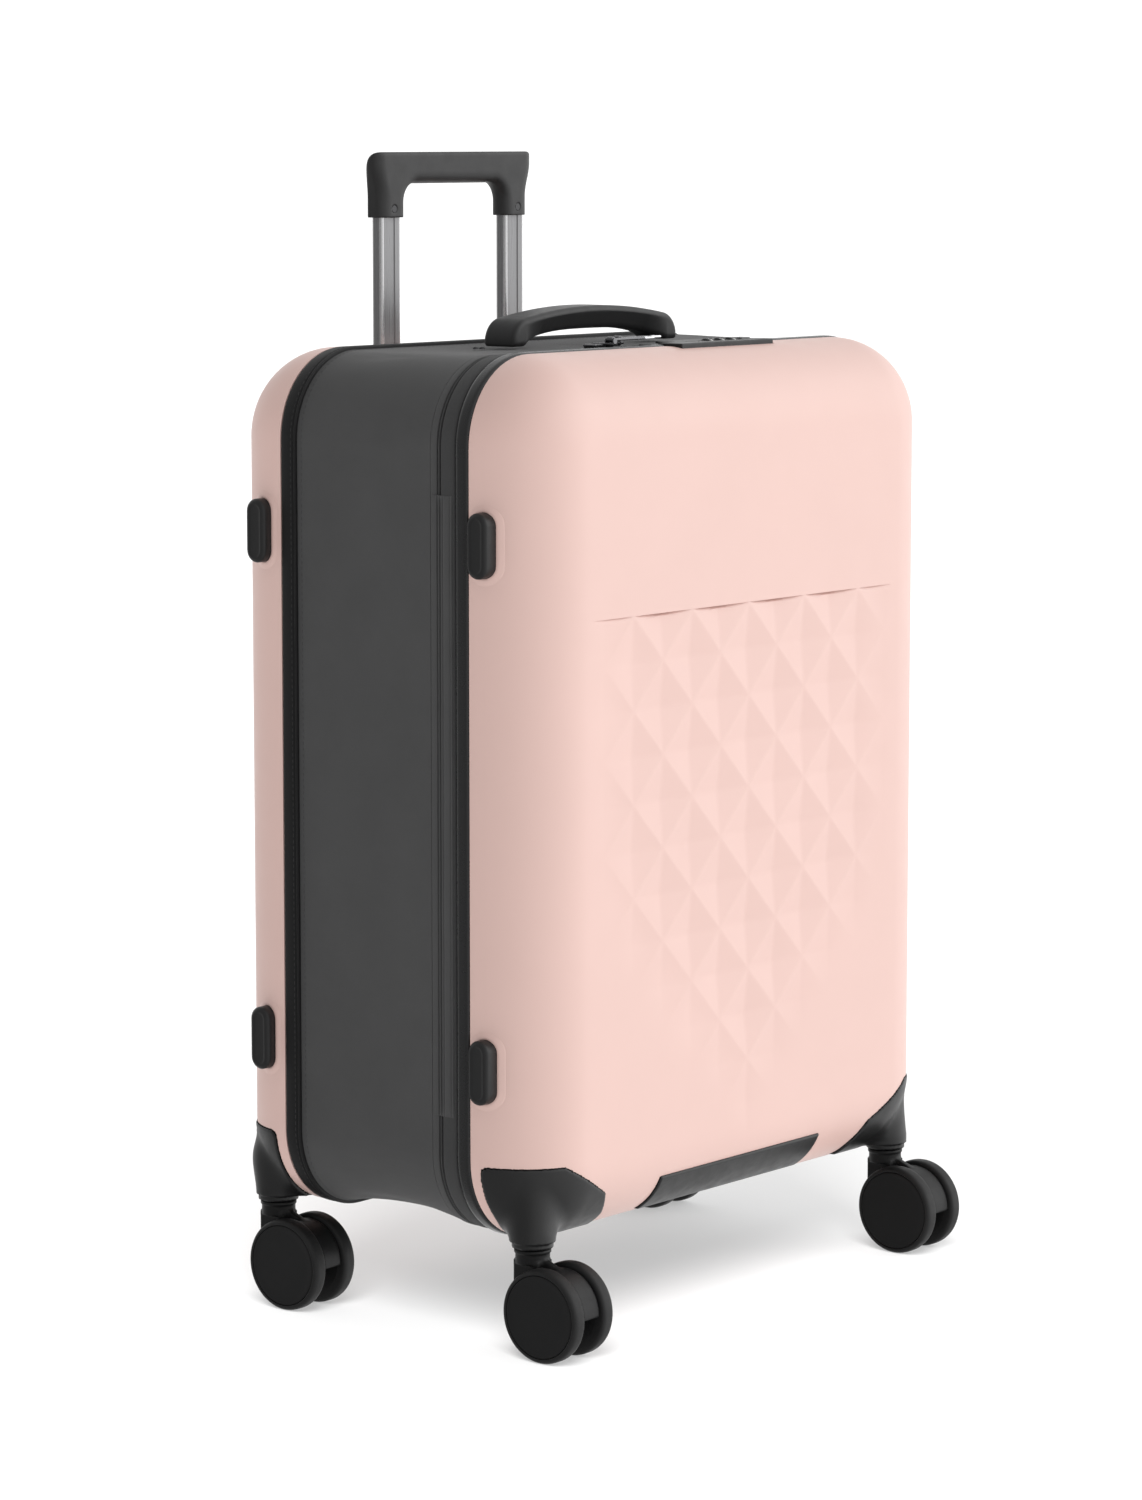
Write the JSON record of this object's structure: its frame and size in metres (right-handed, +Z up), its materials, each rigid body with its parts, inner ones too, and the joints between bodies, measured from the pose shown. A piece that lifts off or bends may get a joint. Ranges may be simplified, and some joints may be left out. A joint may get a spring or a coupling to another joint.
{
  "type": "hard shell suitcase",
  "caption": "Upright suitcase with two rounded hard shells joined by a soft collapsible side wall, a telescopic pull handle, carry handles, a dial lock and twin-wheel swivel casters.",
  "frame": {"origin": "middle of the footprint on the floor, under the wheels", "axes": "+X to the right along the front, front face towards -Y, +Z up"},
  "size_m": [0.4741, 0.3079, 0.7911],
  "materials": {
    "shell_pink": "satin moulded polycarbonate, pale rose",
    "gusset_fabric": "coated dark grey fabric",
    "zip_tape": "woven zip tape",
    "binding_black": "matt moulded piping",
    "band_gloss": "satin moulded band",
    "lining": "thin woven lining",
    "trim_black": "fine textured moulding",
    "tube_aluminium": "brushed lengthways",
    "grip_charcoal": "soft touch",
    "button_grey": "satin",
    "steel": "plain",
    "lock_black": "satin",
    "dial_black": "ribbed",
    "pull_chrome": "polished die casting",
    "wheel_black": "fine textured moulding",
    "tyre_black": "matt polyurethane"
  },
  "bodies": {
    "rear_case": {"rear_shell": "shell_pink", "rear_binding": "binding_black", "gusset": "gusset_fabric", "rear_lining": "lining", "trolley_bezel": "trim_black", "trolley_outer_tubes": "tube_aluminium", "trolley_foot_brackets": "trim_black", "rear_left_housing": "trim_black", "rear_right_housing": "trim_black", "rear_side_feet": "trim_black"},
    "front_frame": {"zip_frame": "zip_tape", "zip_sliders": "pull_chrome", "hinge_strip": "zip_tape"},
    "top_handle": {"carry_handle": "grip_charcoal"},
    "side_grip": {"side_handle": "grip_charcoal"},
    "front_lid": {"front_shell": "shell_pink", "zip_flap": "zip_tape", "front_band": "band_gloss", "front_left_housing": "trim_black", "front_right_housing": "trim_black", "front_side_feet": "trim_black", "kick_plate": "trim_black", "lid_lining": "lining", "lock_body": "lock_black"},
    "dial_1": {"lock_dial_1": "dial_black"},
    "dial_2": {"lock_dial_2": "dial_black"},
    "dial_3": {"lock_dial_3": "dial_black"},
    "lock_release": {"lock_button": "pull_chrome"},
    "pull_1": {"zip_pull_1": "pull_chrome"},
    "pull_2": {"zip_pull_2": "pull_chrome"},
    "trolley": {"trolley_inner_tubes": "tube_aluminium", "trolley_grip": "grip_charcoal", "grip_screws": "steel"},
    "trolley_release": {"trolley_button": "button_grey", "release_rods": "steel"},
    "front_left_caster": {"front_left_fork": "wheel_black", "front_left_pins": "steel"},
    "front_left_wheel_l": {"front_left_hub_l": "wheel_black", "front_left_tyre_l": "tyre_black"},
    "front_left_wheel_r": {"front_left_hub_r": "wheel_black", "front_left_tyre_r": "tyre_black"},
    "front_right_caster": {"front_right_fork": "wheel_black", "front_right_pins": "steel"},
    "front_right_wheel_l": {"front_right_hub_l": "wheel_black", "front_right_tyre_l": "tyre_black"},
    "front_right_wheel_r": {"front_right_hub_r": "wheel_black", "front_right_tyre_r": "tyre_black"},
    "rear_left_caster": {"rear_left_fork": "wheel_black", "rear_left_pins": "steel"},
    "rear_left_wheel_l": {"rear_left_hub_l": "wheel_black", "rear_left_tyre_l": "tyre_black"},
    "rear_left_wheel_r": {"rear_left_hub_r": "wheel_black", "rear_left_tyre_r": "tyre_black"},
    "rear_right_caster": {"rear_right_fork": "wheel_black", "rear_right_pins": "steel"},
    "rear_right_wheel_l": {"rear_right_hub_l": "wheel_black", "rear_right_tyre_l": "tyre_black"},
    "rear_right_wheel_r": {"rear_right_hub_r": "wheel_black", "rear_right_tyre_r": "tyre_black"}
  },
  "joints": [
    {"name": "collapse", "type": "slide", "parent": "rear_case", "child": "front_frame", "axis": [0, 1, 0], "range_m": [0, 0.085], "deforming": ["gusset"]},
    {"name": "top_handle_shift", "type": "slide", "parent": "rear_case", "child": "top_handle", "axis": [0, 1, 0], "range_m": [0, 0.0445]},
    {"name": "side_handle_shift", "type": "slide", "parent": "rear_case", "child": "side_grip", "axis": [0, 1, 0], "range_m": [0, 0.0445]},
    {"name": "lid_hinge", "type": "hinge", "parent": "front_frame", "child": "front_lid", "pos_m": [-0.2295, -0.0435, 0.36515], "axis": [0, 0, -1], "range_deg": [0, 120], "deforming": ["hinge_strip"]},
    {"name": "trolley_slide", "type": "slide", "parent": "rear_case", "child": "trolley", "axis": [0, 0, 1], "range_m": [-0.12, 0.27]},
    {"name": "trolley_press", "type": "slide", "parent": "trolley", "child": "trolley_release", "axis": [0, 0, -1], "range_m": [0, 0.004], "stiffness_N_per_m": 900, "springref_m": -0.004},
    {"name": "lock_press", "type": "slide", "parent": "front_lid", "child": "lock_release", "axis": [0, 0, -1], "range_m": [0, 0.0024], "stiffness_N_per_m": 400, "springref_m": -0.002},
    {"name": "dial_1_turn", "type": "hinge", "parent": "front_lid", "child": "dial_1", "pos_m": [0.031, -0.0655, 0.6563], "axis": [1, 0, 0], "continuous": true},
    {"name": "dial_2_turn", "type": "hinge", "parent": "front_lid", "child": "dial_2", "pos_m": [0.044, -0.0655, 0.6563], "axis": [1, 0, 0], "continuous": true},
    {"name": "dial_3_turn", "type": "hinge", "parent": "front_lid", "child": "dial_3", "pos_m": [0.057, -0.0655, 0.6563], "axis": [1, 0, 0], "continuous": true},
    {"name": "pull_1_lift", "type": "hinge", "parent": "front_frame", "child": "pull_1", "pos_m": [-0.062, -0.0545, 0.6649], "axis": [0, -1, 0], "range_deg": [0, 150]},
    {"name": "pull_2_lift", "type": "hinge", "parent": "front_frame", "child": "pull_2", "pos_m": [-0.046, -0.0477, 0.6649], "axis": [0, -1, 0], "range_deg": [0, 150]},
    {"name": "front_left_swivel", "type": "hinge", "parent": "front_lid", "child": "front_left_caster", "pos_m": [-0.2009, -0.1002, 0.072], "axis": [0, 0, 1], "continuous": true},
    {"name": "front_left_roll_l", "type": "hinge", "parent": "front_left_caster", "child": "front_left_wheel_l", "pos_m": [-0.2009, -0.1219, 0.0315], "axis": [1, 0, 0], "continuous": true},
    {"name": "front_left_roll_r", "type": "hinge", "parent": "front_left_caster", "child": "front_left_wheel_r", "pos_m": [-0.2009, -0.1219, 0.0315], "axis": [1, 0, 0], "continuous": true},
    {"name": "front_right_swivel", "type": "hinge", "parent": "front_lid", "child": "front_right_caster", "pos_m": [0.2009, -0.1002, 0.072], "axis": [0, 0, 1], "continuous": true},
    {"name": "front_right_roll_l", "type": "hinge", "parent": "front_right_caster", "child": "front_right_wheel_l", "pos_m": [0.2009, -0.1219, 0.0315], "axis": [1, 0, 0], "continuous": true},
    {"name": "front_right_roll_r", "type": "hinge", "parent": "front_right_caster", "child": "front_right_wheel_r", "pos_m": [0.2009, -0.1219, 0.0315], "axis": [1, 0, 0], "continuous": true},
    {"name": "rear_left_swivel", "type": "hinge", "parent": "rear_case", "child": "rear_left_caster", "pos_m": [-0.2009, 0.128, 0.072], "axis": [0, 0, 1], "continuous": true},
    {"name": "rear_left_roll_l", "type": "hinge", "parent": "rear_left_caster", "child": "rear_left_wheel_l", "pos_m": [-0.2009, 0.1063, 0.0315], "axis": [1, 0, 0], "continuous": true},
    {"name": "rear_left_roll_r", "type": "hinge", "parent": "rear_left_caster", "child": "rear_left_wheel_r", "pos_m": [-0.2009, 0.1063, 0.0315], "axis": [1, 0, 0], "continuous": true},
    {"name": "rear_right_swivel", "type": "hinge", "parent": "rear_case", "child": "rear_right_caster", "pos_m": [0.2009, 0.128, 0.072], "axis": [0, 0, 1], "continuous": true},
    {"name": "rear_right_roll_l", "type": "hinge", "parent": "rear_right_caster", "child": "rear_right_wheel_l", "pos_m": [0.2009, 0.1063, 0.0315], "axis": [1, 0, 0], "continuous": true},
    {"name": "rear_right_roll_r", "type": "hinge", "parent": "rear_right_caster", "child": "rear_right_wheel_r", "pos_m": [0.2009, 0.1063, 0.0315], "axis": [1, 0, 0], "continuous": true}
  ],
  "couplings": [
    {"joint": "top_handle_shift", "follows": "collapse", "ratio": 0.52},
    {"joint": "side_handle_shift", "follows": "collapse", "ratio": 0.52}
  ]
}
